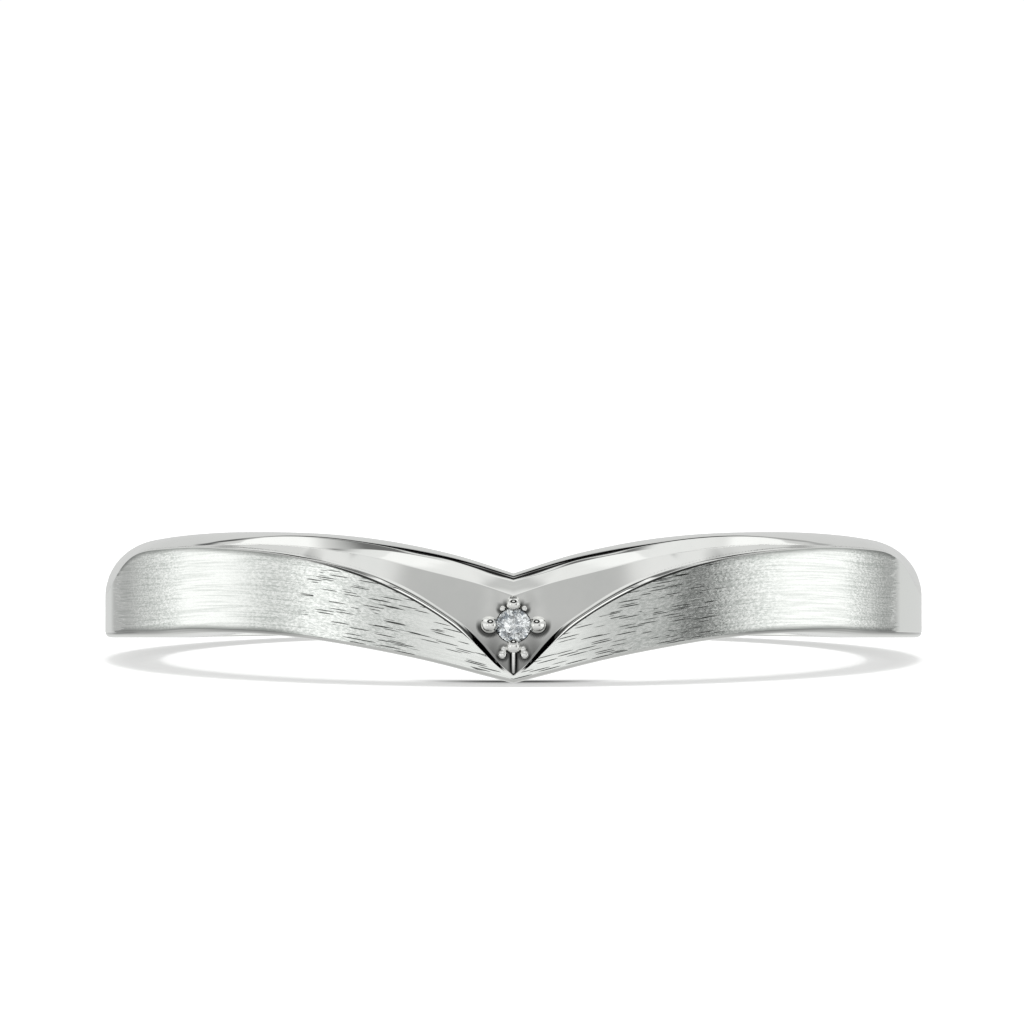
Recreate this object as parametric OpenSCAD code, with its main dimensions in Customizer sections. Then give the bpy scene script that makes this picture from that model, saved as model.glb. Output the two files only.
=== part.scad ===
// Wedding ring: a wishbone band with brushed lapels, a polished recess and one round brilliant.
// The ring lies on its side, resting on the tip of its V and on the back of its shank.

/* [Band] */
// Inside diameter, for a finger of US size 6
inner_d = 16.5; // [15:0.1:19]
// Thickness of the wall, measured away from the finger
wall_t = 1.37; // [1.25:0.01:1.6]
// Width of the polished bevel along the lower edge
bevel_w = 0.19; // [0.1:0.01:0.25]

/* [Stone] */
// Diameter of the brilliant
stone_d = 0.76; // [0.72:0.01:0.8]
// Diameter of its table, as a share of the stone's
table_share = 0.56; // [0.5:0.01:0.62]
// Height of its crown, as a share of the stone's diameter
crown_share = 0.15; // [0.12:0.01:0.18]
// Depth of its pavilion, as a share of the stone's diameter
pavilion_share = 0.43; // [0.4:0.01:0.45]
// Height of its centre above the plane of the ring's lower edge
stone_z = 0.262; // [0.22:0.002:0.3]
// Angle at which the stone looks up
stone_lean = 7; // [4:0.5:12]
// Gap between the stone and the metal round it
seat_gap = 0.015; // [0.01:0.005:0.03]

/* [Setting] */
// Radius of a prong's bead
bead_r = 0.155; // [0.13:0.005:0.16]
// Distance from the stone's axis to the beads at its sides
bead_ring = 0.505; // [0.49:0.005:0.52]
// Distance from the stone's axis to the beads above and below it
upright_ring = 0.46; // [0.45:0.005:0.48]
// Radius of the feet of the prongs at the stone's sides
side_foot_r = 0.21; // [0.19:0.005:0.22]
// Radius of the feet of the prongs above and below the stone
upright_foot_r = 0.17; // [0.16:0.005:0.19]
// Radius of the two small beads beside the lowest prong
small_r = 0.1; // [0.08:0.005:0.11]
// Radius of the rib that runs down to the tip
rib_r = 0.084; // [0.07:0.002:0.09]

/* [Hidden] */

inner_r = inner_d / 2;
outer_r = inner_r + wall_t;
// The swept band reaches this far into the hole, so that the hole alone makes its inner wall,
// and its top stays level over the last little way.
overcut = 0.25;
level_lip = 0.04;

// Heights along the band above the plane of its lower edge, at angles from the V, and the angle
// at which the shoulder's arc starts above the crest: 0 where it leaves the wall without an edge.
ANGLE = 0;
BOTTOM = 1;
BEVEL = 2;
CREST = 3;
TOP = 4;
CUT = 5;
outline = [
    // angle, bottom, bevel, crest, top, cut
    [0, -1.00, 0.09, -0.855, 1.42, 40],
    [2, -0.915, 0.09, -0.64, 1.515, 40],
    [4, -0.83, 0.09, -0.311, 1.61, 40],
    [8, -0.655, 0.09, 0.259, 1.79, 40],
    [13, -0.46, 0.09, 0.79, 1.965, 40],
    [19, -0.268, 0.09, 1.25, 2.13, 40],
    [26, -0.083, 0.09, 1.607, 2.26, 40],
    [34, 0.052, 0.09, 1.855, 2.34, 40],
    [42, 0.10, 0.095, 1.97, 2.375, 40],
    [49, 0.078, 0.13, 2.015, 2.385, 40],
    [56, 0.018, 0.15, 1.99, 2.372, 40],
    [63, 0, 0.15, 1.907, 2.345, 36],
    [70, 0, 0.135, 1.58, 2.32, 22],
    [77, 0, 0.13, 1.13, 2.305, 6],
    [90, 0, 0.13, 0.996, 2.29, 0],
    [120, 0.02, 0.13, 0.942, 2.14, 0],
    [150, 0.07, 0.12, 0.81, 1.77, 0],
    [180, 0.10, 0.12, 0.718, 1.52, 0]
];

// The recess: how far its foot rises above the crest, the heights of its ridge, shelf and rim,
// and how deep each of them lies inside the outer radius.
RISE = 1;
FOOT_IN = 2;
RIDGE = 3;
RIDGE_IN = 4;
SHELF = 5;
SHELF_IN = 6;
RIM = 7;
RIM_IN = 8;
recess = [
    // angle, rise, foot_in, ridge, ridge_in, shelf, shelf_in, rim, rim_in
    [0, 0.02, 0.015, 0.92, 0.45, 1.235, 0.69, 1.283, 0.755],
    [1.5, 0.09, 0.056, 1.003, 0.435, 1.3, 0.671, 1.352, 0.742],
    [4, 0.18, 0.1, 1.14, 0.41, 1.405, 0.64, 1.465, 0.72],
    [8, 0.15, 0.095, 1.32, 0.365, 1.6, 0.59, 1.665, 0.67],
    [13, 0.14, 0.094, 1.525, 0.31, 1.79, 0.525, 1.85, 0.615],
    [19, 0.12, 0.087, 1.76, 0.265, 1.93, 0.42, 2.04, 0.55],
    [26, 0.08, 0.061, 1.94, 0.23, 1.965, 0.26, 2.2, 0.485],
    [34, 0.04, 0.03, 2.06, 0.175, 2.08, 0.195, 2.255, 0.32],
    [42, 0.02, 0.015, 2.072, 0.09, 2.092, 0.106, 2.178, 0.196],
    [49, 0.01, 0.01, 2.06, 0.059, 2.07, 0.075, 2.089, 0.108]
];
// The recess's lines fade over this angle into lines on the shoulder, at these shares of its height.
recess_end = 49;
recess_fade = 5;
foot_climb = 0.02;
ridge_climb = 0.105;
shelf_climb = 0.135;
rim_climb = 0.185;
// Angle at which the arc of the band's top starts behind the rim.
strip_cut = 40;

// A column of a table at any angle, on cubic curves that pass through its rows.
function row_of(t, a, i = 0) = i >= len(t) - 2 || a <= t[i + 1][ANGLE] ? i : row_of(t, a, i + 1);
function secant(t, c, i) = (t[i + 1][c] - t[i][c]) / (t[i + 1][ANGLE] - t[i][ANGLE]);
function inner_slope(t, c, i) =
    let (before = t[i][ANGLE] - t[i - 1][ANGLE], after = t[i + 1][ANGLE] - t[i][ANGLE])
    (after * secant(t, c, i - 1) + before * secant(t, c, i)) / (before + after);
function slope(t, c, i) =
    i == 0 ? 1.5 * secant(t, c, 0) - 0.5 * inner_slope(t, c, 1) :
    i == len(t) - 1 ? (t[i][ANGLE] == 180 ? 0 : secant(t, c, i - 1)) :
    inner_slope(t, c, i);
function at(t, c, a) =
    let (i = row_of(t, a), gap = t[i + 1][ANGLE] - t[i][ANGLE], u = (a - t[i][ANGLE]) / gap)
    t[i][c] * (1 + 2 * u) * pow(1 - u, 2) + t[i + 1][c] * u * u * (3 - 2 * u)
    + gap * u * (1 - u) * (slope(t, c, i) * (1 - u) - slope(t, c, i + 1) * u);

function mix(p, q, f) = p * (1 - f) + q * f;
function eased(f) = let (g = min(1, max(0, f))) g * g * (3 - 2 * g);

// A quarter of an ellipse that ends level at the finger hole, of which the first part is cut away:
// its point at the angle turn, for an arc that starts at the angle cut.
function arc(start, top, cut, turn) = [
    inner_r + (start[0] - inner_r) * cos(turn) / cos(cut),
    mix(start[1], top, (sin(turn) - sin(cut)) / (1 - sin(cut)))
];
function turn_at(a, climb) = asin(mix(sin(at(outline, CUT, a)), 1, climb));
function crest_pt(a) = [outer_r, at(outline, CREST, a)];
function shoulder(a, climb) =
    arc(crest_pt(a), at(outline, TOP, a), at(outline, CUT, a), turn_at(a, climb));

// Points of the recess's lines, which become points of the shoulder past the end of the recess.
function weight(a) = eased((recess_end - a) / recess_fade);
function line_pt(a, z, depth, climb) = mix(shoulder(a, climb), [outer_r - depth, z], weight(a));
function held(a) = min(a, recess_end);
function foot_pt(a) =
    line_pt(a, at(outline, CREST, a) + at(recess, RISE, held(a)), at(recess, FOOT_IN, held(a)), foot_climb);
function ridge_pt(a) =
    line_pt(a, at(recess, RIDGE, held(a)), at(recess, RIDGE_IN, held(a)), ridge_climb);
function shelf_pt(a) =
    line_pt(a, at(recess, SHELF, held(a)), at(recess, SHELF_IN, held(a)), shelf_climb);
function rim_pt(a) = line_pt(a, at(recess, RIM, held(a)), at(recess, RIM_IN, held(a)), rim_climb);

// The top of the band, a share of the turn from the rim to the finger hole.
function strip_pt(a, f) =
    let (cut = mix(turn_at(a, rim_climb), strip_cut, weight(a)))
    arc(rim_pt(a), at(outline, TOP, a), cut, mix(cut, 90, f));

// One closed section of the band, as [radius, height], from the finger hole round the outside.
wall_steps = 3;
bevel_steps = 3;
strip_shares = [0.2, 0.4, 0.6, 0.8];
function section(a) =
    let (
        bottom = at(outline, BOTTOM, a),
        bevel = at(outline, BEVEL, a),
        crest = at(outline, CREST, a)
    )
    concat(
        [[inner_r - overcut, bottom]],
        [for (i = [0:bevel_steps]) let (t = 90 * i / bevel_steps)
            [outer_r - bevel_w * (1 - sin(t)), bottom + bevel * (1 - cos(t))]],
        [for (i = [1:wall_steps]) [outer_r, mix(bottom + bevel, crest, i / wall_steps)]],
        [foot_pt(a), ridge_pt(a), shelf_pt(a), rim_pt(a)],
        [for (f = strip_shares) strip_pt(a, f)],
        [[inner_r - level_lip, at(outline, TOP, a)], [inner_r - overcut, at(outline, TOP, a)]]
    );

// Angles of the sections, close together in the V and wider round the shank.
fine_step = 2;
fine_end = 78;
coarse_step = 6;
half = concat([for (a = [0:fine_step:fine_end]) a], [for (a = [fine_end + coarse_step:coarse_step:180]) a]);
round_turn = concat(half, [for (i = [len(half) - 2:-1:1]) -half[i]]);

module loft(angles) {
    rings = [for (a = angles) [for (p = section(abs(a))) [p[0] * sin(a), -p[0] * cos(a), p[1]]]];
    n = len(rings);
    m = len(rings[0]);
    points = [for (ring = rings) each ring];
    faces = [for (i = [0:n - 1]) for (j = [0:m - 1])
        let (i2 = (i + 1) % n, j2 = (j + 1) % m)
        each [[i * m + j, i * m + j2, i2 * m + j2], [i * m + j, i2 * m + j2, i2 * m + j]]];
    polyhedron(points = points, faces = faces, convexity = 6);
}

// Depth of the recess's floor at a height, along the middle of the V.
function floor_in(z) =
    let (low = foot_pt(0), high = ridge_pt(0))
    outer_r - mix(low[0], high[0], (z - low[1]) / (high[1] - low[1]));

// Puts its children on the stone's axis: +Z looks out of the recess, +Y up it.
stone_lift = 0.03;
module on_stone_axis() {
    translate([0, -(outer_r - floor_in(stone_z)), stone_z])
        rotate([90 - stone_lean, 0, 0])
            translate([0, 0, stone_lift])
                children();
}

stone_r = stone_d / 2;
table_r = stone_r * table_share;
crown_h = stone_d * crown_share;
pavilion_h = stone_d * pavilion_share;
girdle_share = 0.03;
girdle_h = stone_d * girdle_share;

// Room cut for the stone: its own outline, grown by the gap.
module seat() {
    rotate_extrude($fn = 48)
        polygon([
            [0, -girdle_h - pavilion_h - 2 * seat_gap],
            [stone_r + seat_gap, -girdle_h - seat_gap],
            [stone_r + seat_gap, seat_gap],
            [table_r + seat_gap, crown_h + seat_gap],
            [0, crown_h + seat_gap]
        ]);
}

module bead(centre, r) {
    translate(centre) sphere(r = r, $fn = 32);
}

// A prong: a bead over the stone's edge, on a wider foot that stands a little farther out.
bead_out = 0.07;
prong_depth = 0.1;
low_prong_depth = 0.04;
prong_spread = 0.03;
module prong(ring, foot_r, depth) {
    bead([0, ring, bead_out], bead_r);
    bead([0, ring + prong_spread, bead_out - depth], foot_r);
}

// A small bead beside the lowest prong, with a smaller one above it.
small_at = [0.24, -0.655, 0.09];
smaller_at = [0.21, -0.53, 0.07];
smaller_share = 0.7;
module small_bead() {
    bead(small_at, small_r);
    bead(smaller_at, small_r * smaller_share);
}

// An ear beside the topmost prong, level with the edge of the stone.
ear_at = [0.235, 0.37, -0.02];
ear_r = 0.07;
module ear() {
    bead(ear_at, ear_r);
}

module prongs() {
    prong(upright_ring, upright_foot_r, prong_depth);
    rotate([0, 0, 180]) prong(upright_ring, upright_foot_r, low_prong_depth);
    for (turn = [90, 270]) rotate([0, 0, turn]) prong(bead_ring, side_foot_r, prong_depth);
    for (side = [0, 1]) mirror([side, 0, 0]) {
        small_bead();
        ear();
    }
}

// The rib stands in the recess from the lowest prong down to the tip of the V.
rib_low = -0.765;
rib_low_in = 0.085;
rib_high = -0.34;
rib_proud = 0.03;
module rib() {
    low = [0, -(outer_r - rib_low_in), rib_low];
    high = [0, -(outer_r - floor_in(rib_high) + rib_proud), rib_high];
    run = high - low;
    bead(low, rib_r);
    translate(low) rotate([atan2(-run[1], run[2]), 0, 0]) cylinder(r = rib_r, h = norm(run), $fn = 32);
}

// The ring rests on the V's inner tip and the shank's outer back edge.
back = outline[len(outline) - 1];
rest_span = inner_r + outer_r - bevel_w;
rest_tilt = atan((back[BOTTOM] - outline[0][BOTTOM]) / rest_span);
rest_drop = (outer_r - bevel_w) * sin(rest_tilt) - back[BOTTOM] * cos(rest_tilt);
rest_shift = -(outline[0][BOTTOM] + outline[0][BEVEL] + back[CREST]) * sin(rest_tilt) / 2;
module at_rest() {
    translate([0, rest_shift, rest_drop]) rotate([-rest_tilt, 0, 0]) children();
}

// The finger hole is cut well past both faces of the band.
hole_h = 8;
module band() {
    color("gainsboro") at_rest() difference() {
        union() {
            loft(round_turn);
            on_stone_axis() prongs();
            rib();
        }
        cylinder(r = inner_r, h = hole_h, center = true, $fn = 180);
        on_stone_axis() seat();
    }
}

// A round brilliant, built facet by facet round its axis. Its stars reach this share of the way
// from the table to the girdle, and its lower halves this share of the way to the culet.
star_share = 0.52;
lower_half_share = 0.76;
function ring_pt(r, turn, z) = [r * cos(turn), r * sin(turn), z];
module brilliant() {
    crown_run = crown_h / (stone_r - table_r);
    star_r = mix(table_r, stone_r, star_share) / cos(22.5);
    star_z = crown_h - (star_r * cos(22.5) - table_r) * crown_run;
    culet_z = -girdle_h - pavilion_h;
    lower_r = stone_r * (1 - lower_half_share);
    lower_z = culet_z + lower_r * cos(22.5) * pavilion_h / stone_r;
    points = concat(
        [for (i = [0:7]) ring_pt(table_r, 45 * i, crown_h)],
        [for (i = [0:7]) ring_pt(star_r, 45 * i + 22.5, star_z)],
        [for (i = [0:15]) ring_pt(stone_r, 22.5 * i, 0)],
        [for (i = [0:15]) ring_pt(stone_r, 22.5 * i, -girdle_h)],
        [for (i = [0:7]) ring_pt(lower_r, 45 * i + 22.5, lower_z)],
        [[0, 0, culet_z]]
    );
    star = 8;
    upper = 16;
    lower = 32;
    half_pt = 48;
    culet = 56;
    faces = concat(
        [[for (i = [7:-1:0]) i]],
        [for (i = [0:7]) let (n = (i + 1) % 8, g = upper + 2 * i, g2 = upper + (2 * i + 2) % 16)
            each [
                [i, n, star + i],
                [i, star + i, g],
                [n, g2, star + i],
                [star + i, g + 1, g],
                [star + i, g2, g + 1]
            ]],
        [for (i = [0:15]) let (n = (i + 1) % 16)
            each [[upper + i, upper + n, lower + n], [upper + i, lower + n, lower + i]]],
        [for (i = [0:7]) let (g = lower + 2 * i, g2 = lower + (2 * i + 2) % 16)
            each [
                [half_pt + i, g, g + 1],
                [half_pt + i, g + 1, g2],
                [culet, g, half_pt + i],
                [culet, half_pt + i, g2]
            ]]
    );
    polyhedron(points = points, faces = faces, convexity = 2);
}

module diamond() {
    color("lightcyan") at_rest() on_stone_axis() brilliant();
}

band();
diamond();
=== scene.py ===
"""Looks of a wishbone wedding ring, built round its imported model.

Lengths are millimetres in the ring's own frame: Z is the axis of the finger hole, the V looks along -Y and
height 0 is the plane of the lower edge. Posture.lay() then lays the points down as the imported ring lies.
"""

import logging
import math
from dataclasses import dataclass, field
from enum import Enum
from typing import Sequence

import bpy
import numpy as np
from bpy.types import Material, NodeSocket, NodeTree, Object
from mathutils import Matrix, Vector

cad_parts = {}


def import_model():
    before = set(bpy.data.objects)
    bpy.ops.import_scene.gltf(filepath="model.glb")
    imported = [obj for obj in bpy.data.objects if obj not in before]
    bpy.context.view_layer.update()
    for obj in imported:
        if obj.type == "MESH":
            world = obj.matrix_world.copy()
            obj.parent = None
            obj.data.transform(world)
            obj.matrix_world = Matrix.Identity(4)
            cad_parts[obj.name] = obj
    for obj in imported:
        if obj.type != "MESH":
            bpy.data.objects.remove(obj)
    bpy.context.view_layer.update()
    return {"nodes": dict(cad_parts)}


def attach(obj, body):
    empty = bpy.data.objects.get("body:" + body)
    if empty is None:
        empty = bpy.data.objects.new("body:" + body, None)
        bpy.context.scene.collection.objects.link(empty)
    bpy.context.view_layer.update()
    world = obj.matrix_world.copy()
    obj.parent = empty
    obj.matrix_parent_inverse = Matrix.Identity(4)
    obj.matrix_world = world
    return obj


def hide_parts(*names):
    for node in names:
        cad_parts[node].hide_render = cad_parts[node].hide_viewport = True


MM = 0.001
DEGREES = 180 / math.pi
LOG = logging.getLogger("wedding_ring")
Array = np.ndarray
Triple = tuple[float, float, float]
Skin = tuple[Array, Array, Array]
Span = tuple[float, float, float, float]


class Side(Enum):
    """The four places of a prong round the stone, as turns from the top in degrees."""

    TOP = 0
    LEFT = 90
    LOW = 180
    RIGHT = 270


class Metal(Enum):
    """Material slots of the band's mesh, by their index."""

    POLISHED = 0
    BRUSHED = 1


@dataclass(frozen=True)
class Table:
    """Named columns of heights and depths, in rows at angles from the V in degrees."""

    columns: tuple[str, ...]
    rows: tuple[tuple[float, ...], ...]
    flat_end: bool = False

    def curve(self, name: str, angle: Array) -> Array:
        """Follows one column round the band.

        It is a cubic spline of continuous slope and bend, whose slopes at the rows solve one linear system.
        It has no bend at the V and, where flat_end is set, no slope at the back.

        Args:
            name: The column's name.
            angle: Angles from the V in degrees, of either sign.

        Returns:
            The column's value at each angle, held past the last row.
        """
        data = np.array(self.rows)
        x = data[:, 0]
        y = data[:, self.columns.index(name)]
        gap = np.diff(x)
        rise = np.diff(y) / gap
        n = len(x)
        system = np.zeros((n, n))
        target = np.zeros(n)
        inner = np.arange(1, n - 1)
        system[inner, inner - 1] = gap[1:]
        system[inner, inner] = 2 * (gap[:-1] + gap[1:])
        system[inner, inner + 1] = gap[:-1]
        target[inner] = 3 * (gap[1:] * rise[:-1] + gap[:-1] * rise[1:])
        system[0, :2] = 2, 1
        target[0] = 3 * rise[0]
        system[-1, -2:] = (0, 1) if self.flat_end else (1, 2)
        target[-1] = 0 if self.flat_end else 3 * rise[-1]
        slope = np.linalg.solve(system, target)
        a = np.clip(np.abs(angle), x[0], x[-1])
        i = np.clip(np.searchsorted(x, a, side="right") - 1, 0, n - 2)
        u = (a - x[i]) / gap[i]
        ends = y[i] * (1 + 2 * u) * (1 - u) ** 2 + y[i + 1] * u * u * (3 - 2 * u)
        return ends + gap[i] * u * (1 - u) * (slope[i] * (1 - u) - slope[i + 1] * u)


OUTLINE = Table(
    ("angle", "bottom", "bevel", "crest", "top", "cut"),
    (
        (0, -1.00, 0.09, -0.855, 1.42, 40), (2, -0.915, 0.09, -0.64, 1.515, 40),
        (4, -0.83, 0.09, -0.311, 1.61, 40), (8, -0.655, 0.09, 0.259, 1.79, 40),
        (13, -0.46, 0.09, 0.79, 1.965, 40), (19, -0.268, 0.09, 1.25, 2.13, 40),
        (26, -0.083, 0.09, 1.607, 2.26, 40), (34, 0.052, 0.09, 1.855, 2.34, 40),
        (42, 0.10, 0.095, 1.97, 2.375, 40), (49, 0.078, 0.13, 2.015, 2.385, 40),
        (56, 0.018, 0.15, 1.99, 2.372, 40), (63, 0, 0.15, 1.907, 2.345, 36),
        (70, 0, 0.135, 1.58, 2.32, 22), (77, 0, 0.13, 1.13, 2.305, 6),
        (90, 0, 0.13, 0.996, 2.29, 0), (120, 0.02, 0.13, 0.942, 2.14, 0),
        (150, 0.07, 0.12, 0.81, 1.77, 0), (180, 0.10, 0.12, 0.718, 1.52, 0),
    ),
    flat_end=True,
)
# The lines of the recess. The foot's height is given above the crest.
RECESS = Table(
    ("angle", "foot", "foot_in", "ridge", "ridge_in", "shelf", "shelf_in", "rim", "rim_in"),
    (
        (0, 0.02, 0.015, 0.92, 0.45, 1.235, 0.69, 1.283, 0.755),
        (1.5, 0.09, 0.056, 1.003, 0.435, 1.3, 0.671, 1.352, 0.742),
        (4, 0.18, 0.1, 1.14, 0.41, 1.405, 0.64, 1.465, 0.72),
        (8, 0.15, 0.095, 1.32, 0.365, 1.6, 0.59, 1.665, 0.67),
        (13, 0.14, 0.094, 1.525, 0.31, 1.79, 0.525, 1.85, 0.615),
        (19, 0.12, 0.087, 1.76, 0.265, 1.93, 0.42, 2.04, 0.55),
        (26, 0.08, 0.061, 1.94, 0.23, 1.965, 0.26, 2.2, 0.485),
        (34, 0.04, 0.03, 2.06, 0.175, 2.08, 0.195, 2.255, 0.32),
        (42, 0.02, 0.015, 2.072, 0.09, 2.092, 0.106, 2.178, 0.196),
        (49, 0.01, 0.01, 2.06, 0.059, 2.07, 0.075, 2.089, 0.108),
    ),
)
# Past the recess each of its lines runs on at this share of the way up the shoulder.
CLIMBS = {"foot": 0.02, "ridge": 0.105, "shelf": 0.135, "rim": 0.185}


def eased(share: Array) -> Array:
    """A share held between 0 and 1 that leaves 0 and reaches 1 without a corner."""
    held = np.clip(share, 0, 1)
    return held * held * (3 - 2 * held)


def risen(x: Array, start: float, width: float) -> Array:
    """0 up to start, 1 from start + width on and eased between them."""
    return eased((x - start) / width)


def during(x: Array, rise: float, full: float, fall: float, none: float) -> Array:
    """1 from full to fall, 0 up to rise and from none on, and eased between them."""
    return eased((x - rise) / (full - rise)) * eased((none - x) / (none - fall))


def mixed(start: Array, end: Array, share: Array) -> Array:
    """The point that lies a share of the way from start to end."""
    return start * (1 - share) + end * share


def unit(vectors: Array) -> Array:
    """Vectors along the last axis, each scaled to length 1."""
    return vectors / np.maximum(np.linalg.norm(vectors, axis=-1, keepdims=True), 1e-9)


def profile(radius: Array | float, height: Array) -> Array:
    """Points of the band's sections, as pairs of a radius and a height."""
    return np.stack(np.broadcast_arrays(radius, height), -1)


def placed(radius: Array, turn: Array, height: Array) -> Array:
    """Where a section's points stand at a turn from the V: (radius sin turn, -radius cos turn, height)."""
    return np.stack([radius * np.sin(turn), -radius * np.cos(turn), height], -1)


def lofted(rings: int, steps: int, close: bool = True) -> Array:
    """Corner indices of the quads of a grid whose point (i, j) has index i * steps + j.

    Args:
        rings: How many rings the grid has.
        steps: How many points each ring has. Its last meets its first.
        close: Whether the last ring meets the first.

    Returns:
        An array of quads, shaped (rings, steps, 4), outward for rings that run eastward round Z.
    """
    i = np.arange(rings if close else rings - 1)[:, None]
    j = np.arange(steps)[None, :]
    i2 = (i + 1) % rings
    j2 = (j + 1) % steps
    return np.stack(np.broadcast_arrays(i * steps + j, i2 * steps + j, i2 * steps + j2, i * steps + j2), -1)


def fan(centre: int, first: int, steps: int) -> Array:
    """Triangles from a point to each side of the ring of points that starts at first."""
    here = np.arange(steps)
    return np.stack([np.full(steps, centre), first + here, first + (here + 1) % steps], -1)


def shown(name: str, data: bpy.types.ID) -> Object:
    """A new object of that data, linked to the scene."""
    obj = bpy.data.objects.new(name, data)
    bpy.context.scene.collection.objects.link(obj)
    return obj


def joined(name: str, skin: tuple[Array, ...], *finishes: Material) -> Object:
    """Puts a skin into a smooth mesh object.

    Args:
        name: The piece's name.
        skin: Points in metres, one to a row, and then arrays of corner indices, one face to a row.
        finishes: Its materials.

    Returns:
        The new object, linked to the scene, with its place in its mesh.
    """
    points, *grids = skin
    mesh = bpy.data.meshes.new(name)
    mesh.from_pydata(points.tolist(), [], [face for grid in grids for face in grid.tolist()])
    mesh.update()
    mesh.shade_smooth()
    for finish in finishes:
        mesh.materials.append(finish)
    return shown(name, mesh)


def noted(obj: Object, name: str, numbers: Array) -> None:
    """Keeps three numbers at each point of a piece, for its material to read by that name."""
    attribute = obj.data.attributes.new(name, "FLOAT_VECTOR", "POINT")
    attribute.data.foreach_set("vector", numbers.astype(np.float32).reshape(-1))


class Value:
    """A shader socket that takes part in Python arithmetic, adding Math nodes as it goes."""

    def __init__(self, tree: "Tree", socket: NodeSocket) -> None:
        """Wraps one output socket of a tree."""
        self.tree = tree
        self.socket = socket

    def math(self, operation: str, *others: "Value | float") -> "Value":
        """One Math node on this value and the others."""
        return self.tree.add("Math", [self, *others], operation=operation)

    def __add__(self, other: "Value | float") -> "Value":
        """Their sum."""
        return self.math("ADD", other)

    __radd__ = __add__

    def __mul__(self, other: "Value | float") -> "Value":
        """Their product."""
        return self.math("MULTIPLY", other)

    __rmul__ = __mul__

    def __sub__(self, other: "Value | float") -> "Value":
        """This less the other."""
        return self.math("SUBTRACT", other)

    def __rsub__(self, other: float) -> "Value":
        """The other less this."""
        return self.tree.add("Math", [other, self], operation="SUBTRACT")

    def __neg__(self) -> "Value":
        """This with its sign turned."""
        return self.math("MULTIPLY", -1.0)

    def __abs__(self) -> "Value":
        """This without its sign."""
        return self.math("ABSOLUTE")

    def ramp(self, low: float, high: float) -> "Value":
        """0 up to low, 1 past high and a soft step between them; falls instead if low is over high."""
        inputs = {"Value": self, "From Min": low, "From Max": high}
        return self.tree.add("MapRange", inputs, interpolation_type="SMOOTHSTEP")

    def during(self, rise: float, full: float, fall: float, none: float) -> "Value":
        """1 from full to fall, 0 up to rise and from none on, and soft steps between them."""
        return self.ramp(rise, full) * self.ramp(none, fall)


class Tree:
    """A node tree with one method for every kind of node, and short ones for what the finishes share."""

    def __init__(self, tree: NodeTree) -> None:
        """Empties the tree."""
        self.tree = tree
        tree.nodes.clear()

    def add(
        self, kind: str, inputs: dict[str | int, object] | Sequence[object] = (), output: str | int = 0,
        **settings: object,
    ) -> Value | None:
        """Adds one node.

        Args:
            kind: The node's type, without the ShaderNode that it starts with.
            inputs: Values or links of its sockets, by name or index or in order.
            output: The name or index of the output that is wanted.
            settings: Its settings, which are set first.

        Returns:
            That output, ready for arithmetic, where the node has any.
        """
        node = self.tree.nodes.new("ShaderNode" + kind)
        for key, value in settings.items():
            setattr(node, key, value)
        for key, value in inputs.items() if isinstance(inputs, dict) else enumerate(inputs):
            if isinstance(value, Value):
                self.tree.links.new(value.socket, node.inputs[key])
            else:
                node.inputs[key].default_value = value
        return Value(self, node.outputs[output]) if node.outputs else None

    def parts(self, vector: Value) -> list[Value]:
        """The three values of a vector."""
        x = self.add("SeparateXYZ", [vector])
        return [Value(self, out) for out in x.socket.node.outputs]

    def attribute(self, name: str) -> list[Value]:
        """The three numbers that a piece keeps at its points by that name."""
        return self.parts(self.add("Attribute", output="Vector", attribute_name=name))

    def noise(self, place: Value, scale: float, detail: float, roughness: float) -> Value:
        """Noise from 0 to 1 over a place."""
        inputs = {"Vector": place, "Scale": scale, "Detail": detail, "Roughness": roughness}
        return self.add("TexNoise", inputs, "Fac")

    def tint(self, share: Value, low: Value | Triple, high: Value | Triple) -> Value:
        """A colour that runs from low to high as the share runs from 0 to 1.

        Args:
            share: How far it has run.
            low: The colour at 0.
            high: The colour at 1.

        Returns:
            The mixed colour, which is the Mix node's third output. Its colours are its inputs 6 and 7.
        """
        low, high = (end if isinstance(end, Value) else (*end, 1) for end in (low, high))
        return self.add("Mix", {0: share, 6: low, 7: high}, 2, data_type="RGBA")


@dataclass(frozen=True)
class Finish:
    """What every finish shares: one shader, whose sockets the finish works out."""

    name: str = "finish"

    def sockets(self, tree: Tree) -> dict[str, object]:
        """The shader's sockets by name, with the values or links that this finish gives them."""
        raise NotImplementedError

    def material(self) -> Material:
        """Builds the finish's material."""
        material = bpy.data.materials.new(self.name)
        material.use_nodes = True
        tree = Tree(material.node_tree)
        tree.add("OutputMaterial", {"Surface": tree.add("BsdfPrincipled", self.sockets(tree))})
        return material


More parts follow.
